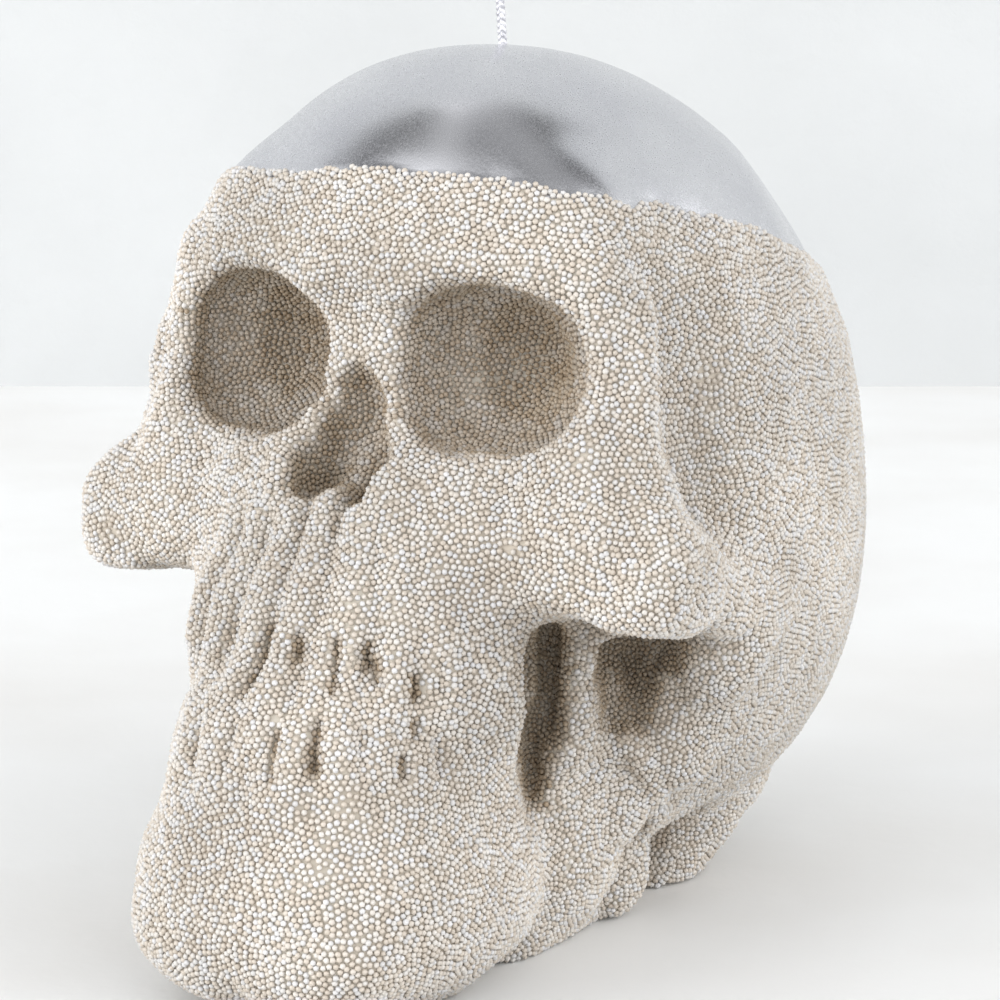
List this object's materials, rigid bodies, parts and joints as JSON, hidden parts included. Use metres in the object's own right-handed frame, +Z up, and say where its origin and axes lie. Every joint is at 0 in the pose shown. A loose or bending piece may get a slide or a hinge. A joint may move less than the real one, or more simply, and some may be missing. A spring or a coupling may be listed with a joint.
{
  "type": "skull candle",
  "caption": "Wax candle in the shape of a human skull with its lower jaw, coated in small beads up to a bare silver-lacquered crown, with a braided wick.",
  "frame": {"origin": "on the flat base, straight under the wick", "axes": "+Z up along the wick, -Y the way the face looks, +X towards the skull's own left side"},
  "size_m": [0.1288, 0.1815, 0.1802],
  "materials": {
    "silver_lacquered_wax": "smooth soft-gloss silver lacquer over wax",
    "glass_beads": "small round opaque cream, tan and grey beads, set close together",
    "lacquered_cotton": "braided cotton with silver lacquer"
  },
  "bodies": {
    "root": {"wax_skull": "silver_lacquered_wax", "bead_coat": "glass_beads", "wick": "lacquered_cotton"}
  },
  "joints": []
}
